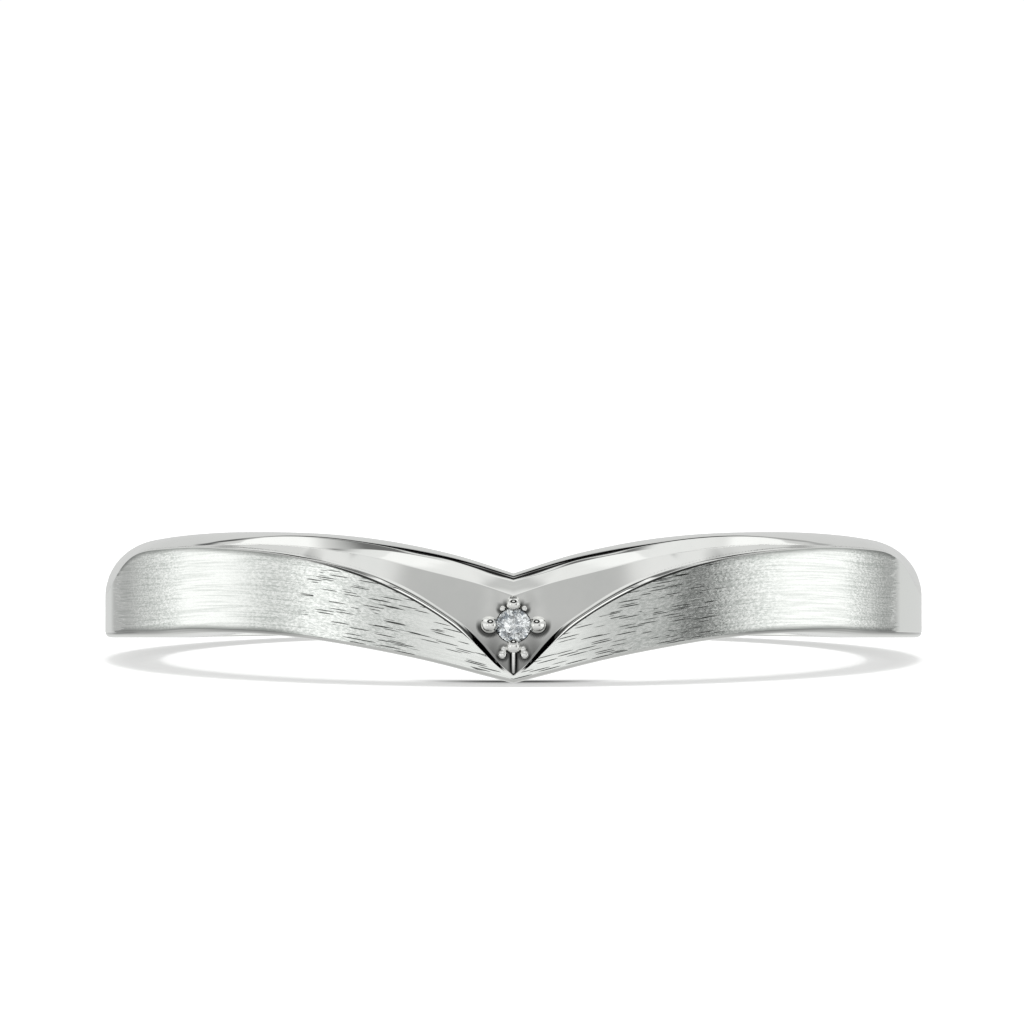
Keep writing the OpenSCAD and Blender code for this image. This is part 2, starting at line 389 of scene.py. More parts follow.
@dataclass(frozen=True)
class PolishedGold(Finish):
    """White gold polished to a mirror, with a faint haze left by the polishing wheel.

    The third number of the edges attribute darkens the colour in the band's narrow places: painted shade and
    painted dark reflections.
    """

    name: str = "polished_white_gold"
    colour: Triple = (0.90, 0.90, 0.885)
    shade: Triple = (0.86, 0.865, 0.85)
    painted_shade: Triple = (0.012, 0.013, 0.012)
    painted_shade_share: float = 0.95
    smooth: float = 0.045
    haze: float = 0.05
    haze_per_mm: float = 0.9
    shaded: tuple[float, float] = (0.35, 0.7)
    hazy: tuple[float, float] = (0.3, 0.8)

    def cloud(self, tree: Tree) -> Value:
        """A slow noise over the surface, from 0 to 1."""
        return tree.noise(tree.add("TexCoord", output="Object"), self.haze_per_mm / MM, 3.0, 0.6)

    def sockets(self, tree: Tree) -> dict[str, object]:
        """A metal whose roughness and colour drift slowly over the surface."""
        cloud = self.cloud(tree)
        # The edges attribute's third number is painted shade and painted dark reflection, mixed into the
        # colour below.
        painted_amount = tree.attribute("edges")[2]
        unshaded = tree.tint(cloud.ramp(*self.shaded), self.colour, self.shade)
        return {
            "Base Color": tree.tint(painted_amount * self.painted_shade_share, unshaded, self.painted_shade),
            "Metallic": 1.0,
            "Roughness": cloud.ramp(*self.hazy) * self.haze + self.smooth,
        }


@dataclass(frozen=True)
class SettingGold(PolishedGold):
    """The same polish on the prongs and the rib, with painted dark reflection and shade in and round their
    marks.

    The mark attribute's first two numbers are (0, 0) at the middle of a mark and 1 long at its edge. Its
    third is 1 where the piece meets the recess and 0 a little way above: painted contact shade.
    """

    name: str = "setting_white_gold"
    smooth: float = 0.12
    haze_per_mm: float = 5.4
    ring: Span = (0.36, 0.5, 0.92, 1.08)
    root: tuple[float, float] = (0.05, 0.7)
    dark_haze: float = 0.3

    def sockets(self, tree: Tree) -> dict[str, object]:
        """A metal painted dark in a ring in each mark and where it meets the recess: painted reflection and
        shade.
        """
        cloud = self.cloud(tree)
        x, y, root = tree.attribute("painted_mark")
        reach = (x * x + y * y).math("SQRT")
        dark = reach.during(*self.ring).math("MAXIMUM", root.ramp(*self.root))
        return {
            "Base Color": tree.tint(dark, self.colour, self.painted_shade),
            "Metallic": 1.0,
            "Roughness": cloud.ramp(*self.hazy) * self.haze + dark * self.dark_haze + self.smooth,
        }


@dataclass(frozen=True)
class Grain:
    """A noise drawn out along the band: marks per millimetre each way, its start and its finer layers."""

    along: float
    across: float
    start: float
    detail: float = 2.0


@dataclass(frozen=True)
class BrushedGold(Finish):
    """White gold brushed along the band: fine strokes, sparkle between them and a few deep dark scratches.

    It covers the angles from the V up to end, where a noise of long strokes makes its edge ragged, and beyond
    it the metal is polished. The dark dashes thin out over the last dashes_fade before dashes_end. The
    strokes grow from weak to full over the calm angles, and the grit is coarser over the busy ones. Lines
    and grit darken the metal as well, each by a weight that grows over its angles and one that is everywhere.
    Near the wall's upper and lower edges its colour is darkened as painted shade.
    """

    name: str = "brushed_white_gold"
    colour: Triple = (0.945, 0.957, 0.937)
    scratch: Triple = (0.035, 0.037, 0.035)
    scratch_share: float = 0.95
    worn: Triple = (0.585, 0.612, 0.588)
    roughness: float = 0.2
    polished: float = 0.06
    relief: float = 0.004
    strokes_height: float = 0.9
    fine_height: float = 0.45
    grit_height: float = 0.45
    busy_height: float = 0.9
    dash_depth: float = 0.5
    fine_haze: float = 0.1
    end: float = 71.0
    end_edge: float = 0.6
    end_right: float = 6.0
    right_end_darkening: float = 0.85
    right_end_angles: tuple[float, float] = (9.0, 1.0)
    lines_worn: tuple[float, float] = (0.42, 0.68)
    grit_worn: tuple[float, float] = (0.35, 0.65)
    lines_wear: tuple[float, float] = (0.4, 0.1)
    grit_wear: tuple[float, float] = (0.5, 0.12)
    ragged: float = 9.0
    calm: tuple[float, float] = (14.0, 30.0)
    calm_share: float = 0.15
    busy: tuple[Span, Span] = ((11, 16, 34, 41), (49, 54, 60, 70))
    dashes_end: float = 32.0
    dashes_fade: float = 13.0
    dashes_start: float = 3.0
    dashes_step: tuple[float, float] = (0.55, 0.58)
    dashes_more: float = 0.2
    dash_long: float = 0.85
    dash_thick: float = 0.035
    shaded_edge: float = 0.13
    shaded_edge_ragged: float = 0.04
    shaded_edge_angles: tuple[float, float] = (24, 36)
    painted_edge_shade: Triple = (0.28, 0.29, 0.28)
    strokes: Grain = Grain(0.45, 15.0, 0.0)
    fine: Grain = Grain(2.2, 34.0, 7.0)
    grit: Grain = Grain(11.0, 30.0, 19.0, 1.0)
    ends: Grain = Grain(0.2, 22.0, 47.0)
    clusters: Grain = Grain(1.1, 3.5, 31.0, 1.0)
    lines: Grain = Grain(0.7, 30.0, 61.0)

    def drawn_out(self, tree: Tree, along: float, across: float, start: float) -> Value:
        """The grain attribute's place, which runs round the ring without a seam, scaled for one noise.

        Args:
            tree: The material's tree.
            along: Marks per millimetre along the band, which scale its x and y.
            across: Marks per millimetre across it, which scale its height above the lower edge.
            start: Moves the noise away from the others.

        Returns:
            The scaled place.
        """
        x, y, v = tree.attribute("grain")
        return tree.add("CombineXYZ", [x * along + start, y * along, v * across])

    def stretched(self, tree: Tree, grain: Grain) -> Value:
        """A grain's noise, from 0 to 1."""
        place = self.drawn_out(tree, grain.along, grain.across, grain.start)
        return tree.noise(place, 1.0, grain.detail, 0.55)

    def dashes(self, tree: Tree) -> Value:
        """Short thin scratches along the band, 1 in a scratch and 0 outside.

        Space is divided into cells dash_long along the band and dash_thick across it, and a point is in a
        scratch where it is near its cell's middle.
        """
        place = self.drawn_out(tree, 1 / self.dash_long, 1 / self.dash_thick, self.dashes_start)
        return tree.add("TexVoronoi", {"Vector": place, "Scale": 1.0}, "Distance").ramp(0.32, 0.27)

    def sockets(self, tree: Tree) -> dict[str, object]:
        """A metal with its strokes in the bump, and its scratches in the colour and the roughness too."""
        x, y, _ = tree.attribute("grain")
        angle = abs(x).math("ARCTAN2", -y) * DEGREES
        strokes, fine, grit, ends, clusters, lines = (
            self.stretched(tree, grain)
            for grain in (self.strokes, self.fine, self.grit, self.ends, self.clusters, self.lines)
        )
        right = x.ramp(-0.1, 0.1)
        reach = angle + right * self.end_right + (ends - 0.5) * self.ragged * (2 - right)
        brushed = reach.ramp(self.end + self.end_edge, self.end - self.end_edge)
        near = angle.ramp(self.dashes_end, self.dashes_end - self.dashes_fade)
        cluster = (clusters + near * self.dashes_more).ramp(*self.dashes_step)
        dashes = self.dashes(tree) * cluster * near.ramp(0.0, 0.3)
        calm = angle.ramp(*self.calm) * (1 - self.calm_share) + self.calm_share
        busy = angle.during(*self.busy[0]) + angle.during(*self.busy[1])
        height = strokes * self.strokes_height + fine * self.fine_height
        height = (height + grit * (busy * self.busy_height + self.grit_height)) * brushed * calm
        height = height - dashes * self.dash_depth
        low, high, _ = tree.attribute("edges")
        # Painted shade: the colour darkens towards a dark tint near the wall's upper and lower edges.
        inside = low.math("MINIMUM", high) + (fine - 0.5) * self.shaded_edge_ragged
        shaded_edge = inside.ramp(self.shaded_edge, -0.02) * brushed * angle.ramp(*self.shaded_edge_angles)
        worn_lines = lines.ramp(*self.lines_worn) * (calm * self.lines_wear[0] + self.lines_wear[1])
        worn_grit = grit.ramp(*self.grit_worn) * (busy * self.grit_wear[0] + self.grit_wear[1])
        # Darker towards the end of the brushed wall on the right.
        near_end = angle.ramp(*(self.end - before for before in self.right_end_angles))
        wear = (worn_lines + worn_grit + near_end * right * self.right_end_darkening) * brushed
        metal = tree.tint(shaded_edge, tree.tint(wear, self.colour, self.worn), self.painted_edge_shade)
        haze = (fine - 0.5) * self.fine_haze + (self.roughness - self.polished)
        return {
            "Base Color": tree.tint(dashes * self.scratch_share, metal, self.scratch),
            "Metallic": 1.0,
            "Roughness": haze * brushed + self.polished,
            "Normal": tree.add("Bump", {"Strength": 1.0, "Distance": self.relief * MM, "Height": height}),
        }


@dataclass(frozen=True)
class DiamondFinish(Finish):
    """Clear stone of diamond's refraction, darkened with a trace of blue in random small cells: painted dark
    reflections.
    """

    name: str = "clear_diamond"
    bright: Triple = (0.96, 0.99, 1.0)
    dim: Triple = (0.05, 0.065, 0.085)
    painted_cell: float = 0.085
    clear: tuple[float, float] = (0.15, 0.6)
    refraction: float = 2.417

    def sockets(self, tree: Tree) -> dict[str, object]:
        """A perfectly smooth stone that lets through more light in some small cells than in others: the
        darker cells are painted reflection.
        """
        place = tree.add("TexCoord", output="Object")
        cell = tree.add("TexVoronoi", {"Vector": place, "Scale": 1 / (self.painted_cell * MM)}, "Color")
        share, _, _ = tree.parts(cell)
        return {
            "Base Color": tree.tint(share.ramp(*self.clear), self.dim, self.bright),
            "Roughness": 0.0,
            "IOR": self.refraction,
            "Transmission Weight": 1.0,
        }


@dataclass(frozen=True)
class FloorFinish(Finish):
    """A pale matt floor, lit from below a little as a light table is.

    A painted contact shadow lies on it: a soft dark line where the V's tip presses on it, touch_w to each
    side of the radius touch_r, and touch_end to each side of the middle.
    """

    name: str = "pale_floor"
    colour: Triple = (0.88, 0.88, 0.88)
    light: Triple = (1.0, 1.0, 1.0)
    dark: Triple = (0.0, 0.0, 0.0)
    glow: float = 0.34
    touch_r: float = 7.85
    touch_w: float = 0.85
    touch_end: float = 2.9
    touch_full: float = 0.4
    shadow_strength: float = 0.95

    def sockets(self, tree: Tree) -> dict[str, object]:
        """A matt white whose colour and glow both go dark in the painted contact shadow."""
        x, y, _ = tree.parts(tree.add("TexCoord", output="Object"))
        reach = (x * x + y * y).math("SQRT") * (1 / MM)
        # Painted contact shadow under the V's tip.
        painted_shadow = abs(reach - self.touch_r).ramp(self.touch_w, 0.0) * y.ramp(0.0, -MM)
        painted_shadow = painted_shadow * abs(x).ramp(self.touch_end * MM, self.touch_full * MM) * self.shadow_strength
        return {
            "Base Color": tree.tint(painted_shadow, self.colour, self.dark),
            "Roughness": 0.9,
            "Specular IOR Level": 0.0,
            "Emission Color": tree.tint(painted_shadow, self.light, self.dark),
            "Emission Strength": self.glow,
        }


@dataclass(frozen=True)
class Posture:
    """How the ring lies: on the V's inner tip and on the shank's outer back edge."""

    inner_r: float = 8.25
    wall: float = 1.37
    bevel_w: float = 0.19

    @property
    def outer_r(self) -> float:
        """Radius of the outer wall."""
        return self.inner_r + self.wall

    @property
    def tilt(self) -> float:
        """Angle in radians between the ring's lower edge and the floor."""
        rise = OUTLINE.rows[-1][1] - OUTLINE.rows[0][1]
        return math.atan(rise / (self.inner_r + self.outer_r - self.bevel_w))

    def lay(self, points: Array) -> Array:
        """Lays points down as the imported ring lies.

        Each point turns about X by the tilt, and moves so that the back edge meets the floor and the front
        and back are equally far from the origin.

        Args:
            points: Points in the ring's frame in millimetres, along the last axis.

        Returns:
            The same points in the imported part's frame, in metres.
        """
        sine, cosine = math.sin(self.tilt), math.cos(self.tilt)
        back_bottom = OUTLINE.rows[-1][1]
        drop = (self.outer_r - self.bevel_w) * sine - back_bottom * cosine
        front_z = OUTLINE.rows[0][1] + OUTLINE.rows[0][2]
        back_z = OUTLINE.rows[-1][3]
        shift = -(front_z + back_z) * sine / 2
        x, y, z = np.moveaxis(np.asarray(points, float), -1, 0)
        return np.stack([x, y * cosine + z * sine + shift, z * cosine - y * sine + drop], -1) * MM


@dataclass
class Setting:
    """The stone's place in the recess, and the metal that holds it there.

    Its own frame has +Z out of the recess and +Y up it, and starts at the middle of the stone's girdle.
    """

    posture: Posture
    stone_d: float = 0.76
    table_share: float = 0.56
    crown_share: float = 0.15
    pavilion_share: float = 0.43
    girdle_share: float = 0.03
    stone_z: float = 0.262
    lean: float = math.radians(7)
    lift: float = 0.03
    gap: float = 0.015
    bead_r: float = 0.155
    bead_ring: float = 0.505
    upright_ring: float = 0.46
    bead_out: float = 0.07
    prong_depth: float = 0.1
    low_prong_depth: float = 0.04
    prong_spread: float = 0.03
    side_foot_r: float = 0.21
    upright_foot_r: float = 0.17
    small_r: float = 0.1
    small_at: Triple = (0.24, -0.655, 0.09)
    smaller_r: float = 0.07
    smaller_at: Triple = (0.21, -0.53, 0.07)
    ear_r: float = 0.07
    ear_at: Triple = (0.235, 0.37, -0.02)
    rib_r: float = 0.084
    rib_low: float = -0.765
    rib_low_in: float = 0.085
    rib_high: float = -0.34
    rib_proud: float = 0.03
    rib_painted_mark: float = 0.075
    neck: float = 0.03
    root: float = 0.05
    root_w: float = 0.1
    root_above: float = 0.15
    root_middle: float = 0.6
    under_foot: float = 1.5
    over_foot: tuple[float, float] = (0.75, 0.9)
    small_least: float = 0.75
    mark_up: float = 0.083
    mark_lower: float = 0.02
    mark_size: tuple[float, float] = (0.072, 0.042)
    unmarked: float = 9.0
    steps: int = 36

    @property
    def seat_r(self) -> float:
        """Radius of the round hole that takes the stone."""
        return self.stone_d / 2 + self.gap

    @property
    def seat_depth(self) -> float:
        """Depth of the hole's point under the stone's girdle."""
        return self.stone_d * (self.girdle_share + self.pavilion_share) + 2 * self.gap

    @property
    def middle_r(self) -> float:
        """Distance of the recess's floor from the ring's axis, at the stone's height."""
        return self.floor_r(0.0, self.stone_z)

    def floor_r(self, angle: Array | float, z: Array | float) -> Array:
        """Distance of the recess's floor from the ring's axis, at an angle from the V and a height.

        Its depth runs from the foot's to the ridge's as the height does.
        """
        low = OUTLINE.curve("crest", angle) + RECESS.curve("foot", angle)
        share = (z - low) / (RECESS.curve("ridge", angle) - low)
        depth = mixed(RECESS.curve("foot_in", angle), RECESS.curve("ridge_in", angle), share)
        return self.posture.outer_r - depth

    def feet(self) -> list[Span]:
        """Where the pieces stand in the recess.

        Returns:
            Each foot's x, y and radius in the setting's frame, and how dark the painted shadow round it stays
            on its upper side.
        """
        side, upright = self.bead_ring + self.prong_spread, self.upright_ring + self.prong_spread
        small = (*self.small_at, self.small_r), (*self.smaller_at, self.smaller_r), (*self.ear_at, self.ear_r)
        found = []
        for flip in (-1, 1):
            found.append((side * flip, 0.0, self.side_foot_r, 0.0))
            found.append((0.0, upright * flip, self.upright_foot_r, 0.0))
            found += [(x * flip, y, radius, self.small_least) for x, y, _, radius in small]
        return found

    def painted_foot_shadow(self, points: Array) -> Array:
        """How dark the recess is painted round the feet and the rib: a painted contact shadow.

        Below a foot it is 1 and falls to 0 at root_w from it. It is less towards the foot's upper side.

        Args:
            points: Points of the recess's floor, in the ring's frame.

        Returns:
            Shares from 0 to 1.
        """
        x, forward, z = np.moveaxis(points, -1, 0)
        y = (z - self.stone_z) * math.cos(self.lean) + (forward + self.middle_r) * math.sin(self.lean)
        level, fall = self.over_foot
        shades = [
            eased(self.under_foot * (1 + (r - np.hypot(x - at_x, y - at_y)) / self.root_w))
            * np.maximum(least, eased(level + fall * (at_y - y) / r))
            for at_x, at_y, r, least in self.feet()
        ]
        shades.append(eased(1 + (self.rib_r - np.abs(x)) / self.root_w) * (z < self.rib_high))
        return np.max(shades, axis=0)

    def to_ring(self, points: Array) -> Array:
        """Points of the setting's frame in the ring's."""
        x, y, z = np.moveaxis(np.asarray(points, float), -1, 0)
        sine, cosine = math.sin(self.lean), math.cos(self.lean)
        out = z + self.lift
        forward = -self.middle_r - out * cosine + y * sine
        return np.stack([x, forward, self.stone_z + out * sine + y * cosine], -1)

    def notched(self, points: Array) -> Array:
        """Keeps the metal out of the stone's room.

        A point moves straight away from the stone's axis as far as the room's wall, whose radius at each
        height is that of the stone's outline grown by the gap.

        Args:
            points: Points in the setting's frame.

        Returns:
            The same points, none of them in the room.
        """
        table_r = self.stone_d / 2 * self.table_share
        crown = self.stone_d * self.crown_share + self.gap
        girdle = self.stone_d * self.girdle_share
        heights = [-self.seat_depth, -girdle - self.gap, self.gap, crown, crown + 1e-4]
        walls = [0, self.seat_r, self.seat_r, table_r + self.gap, 0]
        reach = np.hypot(points[:, 0], points[:, 1])
        grown = np.maximum(reach, np.interp(points[:, 2], heights, walls)) / np.maximum(reach, 1e-9)
        return np.stack([points[:, 0] * grown, points[:, 1] * grown, points[:, 2]], -1)

    def turned(self, start: Array, end: Array, along: Array, radii: Array) -> Skin:
        """A skin turned round the line from start to end.

        Its points are start + way * along + radius * (cos b * side + sin b * other), where way is the line's
        direction, side and other are square to it and b runs once round. Its ends close to points.

        Args:
            start: A point of the line.
            end: A later point of the line.
            along: Distances from start, growing.
            radii: Radius at each distance, 0 at both ends.

        Returns:
            The points, the quads between the rings and the triangles at the two ends.
        """
        steps = self.steps
        way = unit(end - start)
        side = unit(np.cross(way, [0.3, 1.0, 0.2]))
        other = np.cross(way, side)
        b = np.linspace(0, 2 * math.pi, steps, endpoint=False)[None, :, None]
        spoke = np.cos(b) * side + np.sin(b) * other
        rings = start + way * along[1:-1, None, None] + radii[1:-1, None, None] * spoke
        rows = len(along) - 2
        points = np.vstack([rings.reshape(-1, 3), start + way * along[0], start + way * along[-1]])
        first = fan(rows * steps, 0, steps)[:, [0, 2, 1]]
        second = fan(rows * steps + 1, (rows - 1) * steps, steps)
        return points, lofted(rows, steps, close=False).reshape(-1, 4)[:, ::-1], np.vstack([first, second])

    def pair(self, first: Sequence[float], first_r: float, second: Sequence[float], second_r: float) -> Skin:
        """Two balls run together.

        Round the line through their centres, the radius is the greater of the two balls', and where these
        are within the neck's size of each other it grows by (neck - difference)^2 / (4 neck).

        Args:
            first: Centre of the ball at the start.
            first_r: Its radius.
            second: Centre of the other.
            second_r: Its radius.

        Returns:
            Points, quads and triangles as turned() gives them.
        """
        start, end = np.array(first, float), np.array(second, float)
        far = float(np.linalg.norm(end - start))
        share = (1 - np.cos(np.linspace(0, math.pi, 30))) / 2
        along = mixed(-first_r, far + second_r, share)
        squares = first_r ** 2 - along ** 2, second_r ** 2 - (along - far) ** 2
        one, two = (np.sign(square) * np.sqrt(np.abs(square)) for square in squares)
        near = np.clip(self.neck - np.abs(one - two), 0, None)
        radii = np.maximum(one, two) + near ** 2 / (4 * self.neck)
        return self.turned(start, end, along, np.clip(radii, 0, None))

    def finished(self, name: str, skin: Skin, polish: Material, painted_mark: Array | None = None) -> Object:
        """Makes one piece of the setting.

        Args:
            name: The piece's name.
            skin: Points in the ring's frame, quads and triangles.
            polish: Its finish.
            painted_mark: Each point's place in a mark, as two numbers, where the piece has one.

        Returns:
            The piece, with its mark attribute.
        """
        points, *grids = skin
        if painted_mark is None:
            painted_mark = np.full((len(points), 2), self.unmarked)
        x, y, z = points.T
        above = np.hypot(x, y) - self.floor_r(np.degrees(np.arctan2(x, -y)), z)
        # Painted contact shade: the piece is darker where it meets the recess floor, less so towards its
        # upper side.
        root = np.clip(1 - above / self.root, 0, 1)
        middle = (z.max() + z.min()) / 2
        root = root * mixed(self.root_above, 1, eased(self.root_middle + (middle - z) / self.side_foot_r))
        obj = joined(name, (self.posture.lay(points), *grids), polish)
        held = np.clip(painted_mark, -self.unmarked, self.unmarked)
        noted(obj, "painted_mark", np.concatenate([held, root[:, None]], -1))
        return obj

    def prong(self, side: Side, polish: Material) -> Object:
        """One prong: a bead over the stone's edge on a wider foot, notched for the stone."""
        turn = math.radians(side.value)
        spin = np.array([-math.sin(turn), math.cos(turn)])
        upright = side in (Side.TOP, Side.LOW)
        ring = self.upright_ring if upright else self.bead_ring
        depth = self.low_prong_depth if side is Side.LOW else self.prong_depth
        points, *grids = self.pair(
            [*(spin * ring), self.bead_out], self.bead_r,
            [*(spin * (ring + self.prong_spread)), self.bead_out - depth],
            self.upright_foot_r if upright else self.side_foot_r,
        )
        # Painted reflection: the mark is a dark ring round the bead's highlight, on the bead's outer half.
        middle = spin * ring + np.array([0, self.mark_up - self.mark_lower * (1 + math.cos(turn))])
        painted_mark = (points[:, :2] - middle) / self.mark_size + (points[:, 2:] < self.bead_out) * self.unmarked
        skin = self.to_ring(self.notched(points)), *grids
        return self.finished(f"prong_{side.name.lower()}", skin, polish, painted_mark)

    def beside(self, side: Side, at: Triple) -> Array:
        """A place given for the right side, or its mirror image for the left."""
        return np.array(at) * [-1 if side is Side.LEFT else 1, 1, 1]

    def small_bead(self, side: Side, polish: Material) -> Object:
        """One small bead beside the lowest prong, with a smaller one above it."""
        low, high = self.beside(side, self.small_at), self.beside(side, self.smaller_at)
        points, *grids = self.pair(low, self.small_r, high, self.smaller_r)
        return self.finished(f"small_bead_{side.name.lower()}", (self.to_ring(points), *grids), polish)

    def ear(self, side: Side, polish: Material) -> Object:
        """One ball beside the topmost prong, notched for the stone.

        Its surface is ear_at + ear_r (sin t cos b, sin t sin b, -cos t), for t from 0 to 180 degrees.
        """
        middle = self.beside(side, self.ear_at)
        t = np.linspace(0, math.pi, 16)
        along, radii = -self.ear_r * np.cos(t), self.ear_r * np.sin(t)
        points, *grids = self.turned(middle, middle + [0, 0, 1], along, radii)
        skin = self.to_ring(self.notched(points)), *grids
        return self.finished(f"ear_{side.name.lower()}", skin, polish)

    def rib(self, polish: Material) -> Object:
        """The rib from the lowest prong to the tip of the V: a round bar with round ends.

        Its mark runs along it, so its front stays bright and its sides are painted dark: painted shade.
        """
        low = np.array([0, -(self.posture.outer_r - self.rib_low_in), self.rib_low])
        high = np.array([0, -(self.floor_r(0.0, self.rib_high) + self.rib_proud), self.rib_high])
        turn = np.linspace(0, math.pi / 2, 8)
        length = float(np.linalg.norm(high - low))
        along = np.concatenate([-self.rib_r * np.cos(turn), length + self.rib_r * np.sin(turn)])
        radii = self.rib_r * np.concatenate([np.sin(turn), np.cos(turn)])
        skin = self.turned(low, high, along, radii)
        across = skin[0][:, 0]
        painted_mark = np.stack([np.minimum(np.abs(across) / self.rib_painted_mark, 0.8), 0 * across], -1)
        return self.finished("rib", skin, polish, painted_mark)

    def pieces(self, polish: Material) -> list[Object]:
        """All the metal of the setting."""
        made = [self.prong(side, polish) for side in Side]
        for side in (Side.LEFT, Side.RIGHT):
            made += [self.small_bead(side, polish), self.ear(side, polish)]
        return made + [self.rib(polish)]


@dataclass
class Band:
    """The casting: shank, lapels, recess and finger hole, as one closed skin."""

    posture: Posture
    setting: Setting
    recess_end: float = 49.0
    blend: float = 5.0
    strip_cut: float = 40.0
    border_in: tuple[float, float] = (4.2, 4.2)
    border_change: tuple[float, float] = (14.0, 8.0)
    first_shares: tuple[float, float] = (0.34, 0.50)
    second_shares: tuple[float, float] = (0.46, 0.25)
    joined_in: tuple[float, float] = (15.5, 3.5)
    joined_share: float = 0.94
    border_least: float = 0.002
    border_lean: tuple[float, float] = (3.2, 8.0)
    border_round: float = 0.008
    corner_most: float = 0.45
    crest_round: float = 0.02
    foot_round: float = 0.06
    ridge_round: float = 0.015
    shelf_round: float = 0.02
    rim_round: float = 0.05
    hole_round: float = 0.05
    step: float = 0.012
    close_end: float = 12.0
    close_steps: int = 46
    front_end: float = 80.0
    front_gap: float = 0.5
    shank_gap: float = 1.25
    wall_rows: int = 14
    strip_rows: int = 14
    seat_turn: float = 3.3
    seat_low: float = 0.33
    seat_high: float = 0.925
    seat_loops: int = 24
    seat_edge: int = 17
    seat_margin: float = 0.13
    seat_painted_shade: float = 0.95
    foot_shadow_share: float = 0.92
    low_painted_shade: float = 0.6
    low_painted_shade_top: float = 0.5
    low_painted_shade_depth: float = 1.1
    low_painted_shade_end: float = 12.0
    painted_shade_end: float = 90.0
    patch_painted_shade: float = 0.33
    patch_angles: Span = (26, 30, 42, 46)
    bevel_painted_shade: tuple[float, ...] = (0.15, 0.5, 0.65)
    bevel_least: float = 0.4
    bevel_full: tuple[float, float] = (26.0, 8.0)
    ledge_painted_shade: tuple[float, ...] = (0.2, 0.6, 1.0, 1.0, 1.0, 1.0, 0.6, 0.25, 0.08)
    ledge_angles: Span = (1.2, 2.4, 17, 25)
    strip_angles: Span = (4, 6.5, 74, 80)
    strip_least: float = 0.55
    strip_thin: tuple[float, float] = (22.0, 10.0)
    rim_angles: Span = (36, 42, 47, 49.5)
    rim_right: float = 0.45
    rim_under: tuple[float, float] = (43.0, 3.0)
    angles: Array = field(init=False)

    def __post_init__(self) -> None:
        """Spaces the sections closely round the stone and wider round the shank."""
        half = np.concatenate([
            np.linspace(0, self.seat_turn, self.seat_loops + 1)[:-1],
            np.linspace(self.seat_turn, self.close_end, self.close_steps)[:-1],
            np.arange(self.close_end, self.front_end, self.front_gap),
            np.arange(self.front_end, 180 + self.shank_gap / 2, self.shank_gap),
        ])
        self.angles = np.concatenate([-half[-2:0:-1], half])

    def arc(self, start: Array, top: Array, cut: Array, turn: Array) -> Array:
        """A quarter of an ellipse that ends level at the finger hole, of which the first part is cut away.

        Its point at the angle turn is inner_r + (start_r - inner_r) cos(turn) / cos(cut) from the axis, and
        start_z + (top - start_z) (sin(turn) - sin(cut)) / (1 - sin(cut)) high.

        Args:
            start: Its first point's radius and height.
            top: Height of its last point.
            cut: Angle at which it starts, in degrees.
            turn: Angle of the wanted point, in degrees.

        Returns:
            The point's radius and height.
        """
        lost, here = np.radians(cut), np.radians(turn)
        inner = self.posture.inner_r
        climb = (np.sin(here) - np.sin(lost)) / (1 - np.sin(lost))
        radius = inner + (start[:, 0] - inner) * np.cos(here) / np.cos(lost)
        return profile(radius, mixed(start[:, 1], top, climb))

    def turn_at(self, angle: Array, climb: float) -> Array:
        """Angle of the shoulder's arc, in degrees, at a share of the way up it."""
        lost = np.sin(np.radians(OUTLINE.curve("cut", angle)))
        return np.degrees(np.arcsin(np.clip(mixed(lost, 1, climb), 0, 1)))

    def crest(self, angle: Array) -> Array:
        """The upper edge of the brushed wall."""
        return profile(self.posture.outer_r, OUTLINE.curve("crest", angle))

    def weight(self, angle: Array) -> Array:
        """1 along the recess and 0 past its end."""
        return eased((self.recess_end - np.abs(angle)) / self.blend)

    def line(self, angle: Array, name: str) -> Array:
        """A line of the recess, which turns into a line on the shoulder where the recess ends.

        Args:
            angle: Angles from the V.
            name: The line's name in RECESS and CLIMBS.

        Returns:
            Its radius and height at each angle.
        """
        crest = self.crest(angle)
        z = RECESS.curve(name, angle) + (crest[:, 1] if name == "foot" else 0)
        cut = profile(self.posture.outer_r - RECESS.curve(name + "_in", angle), z)
        top = OUTLINE.curve("top", angle)
        plain = self.arc(crest, top, OUTLINE.curve("cut", angle), self.turn_at(angle, CLIMBS[name]))
        return mixed(plain, cut, self.weight(angle)[:, None])

    def strip(self, rim: Array, share: float) -> Array:
        """Points of the band's top, a share of the turn from the rim to the finger hole."""
        cut = mixed(self.turn_at(self.angles, CLIMBS["rim"]), self.strip_cut, self.weight(self.angles))
        return self.arc(rim, OUTLINE.curve("top", self.angles), cut, mixed(cut, 90, share))

    def corner(self, before: Array, tip: Array, after: Array, size: float, steps: int) -> list[Array]:
        """A rounded corner of the section.

        It is the bent() curve between points on its two sides, at the given distance from the tip.

        Args:
            before: A point on the side that arrives.
            tip: The corner itself.
            after: A point on the side that leaves.
            size: Distance from the tip to the ends of the curve, at most corner_most of the side's length.
            steps: Points on the curve, less one.

        Returns:
            The points of the curve in order.
        """
        ends = []
        for side in (before - tip, after - tip):
            most = self.corner_most * np.linalg.norm(side, axis=-1, keepdims=True)
            ends.append(tip + unit(side) * np.minimum(size, most))
        return self.bent(ends[0], tip, ends[1], steps)

    def bent(self, start: Array, tip: Array, end: Array, steps: int) -> list[Array]:
        """Points of the curve (1-t)^2 start + 2t(1-t) tip + t^2 end, one more than steps."""
        shares = np.linspace(0, 1, steps + 1)
        return [start * (1 - t) ** 2 + tip * 2 * t * (1 - t) + end * t * t for t in shares]

